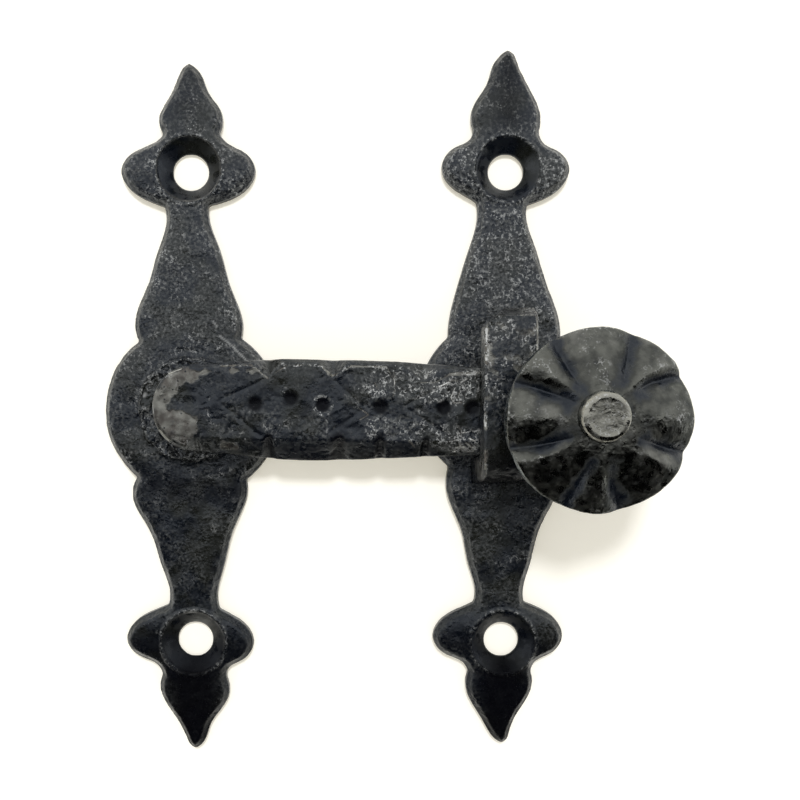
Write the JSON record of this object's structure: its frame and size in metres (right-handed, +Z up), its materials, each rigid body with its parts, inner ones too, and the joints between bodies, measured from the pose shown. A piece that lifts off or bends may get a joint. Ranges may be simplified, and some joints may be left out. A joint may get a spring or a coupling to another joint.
{
  "type": "drop-bar door latch",
  "caption": "Rustic forged iron door latch: a hammered bar with a petalled knob turns on a spear-ended pivot plate and drops into an open hook on a matching keeper plate.",
  "frame": {"origin": "centre of the pattern of the four screw holes, on the plane of the plates' backs", "axes": "+X to the right along the bar, towards the knob; +Z up; +Y from the front into the door"},
  "size_m": [0.0901, 0.0297, 0.1175],
  "materials": {
    "plate_iron": "blackened forged iron, satin, with fine bare specks",
    "bar_iron": "blackened forged iron, rubbed bright on its arrises",
    "knob_iron": "blackened forged iron, worn smooth by the hand"
  },
  "bodies": {
    "root": {"pivot_plate": "plate_iron", "keeper_plate": "plate_iron", "keeper_hook": "bar_iron"},
    "bar": {"latch_bar": "bar_iron", "pivot_rivet": "bar_iron", "knob_stud": "knob_iron", "flower_knob": "knob_iron"}
  },
  "joints": [
    {"name": "bar_pivot", "type": "hinge", "parent": "root", "child": "bar", "pos_m": [-0.0251, 0, 0.0011], "axis": [0, -1, 0], "range_deg": [0, 337]}
  ]
}
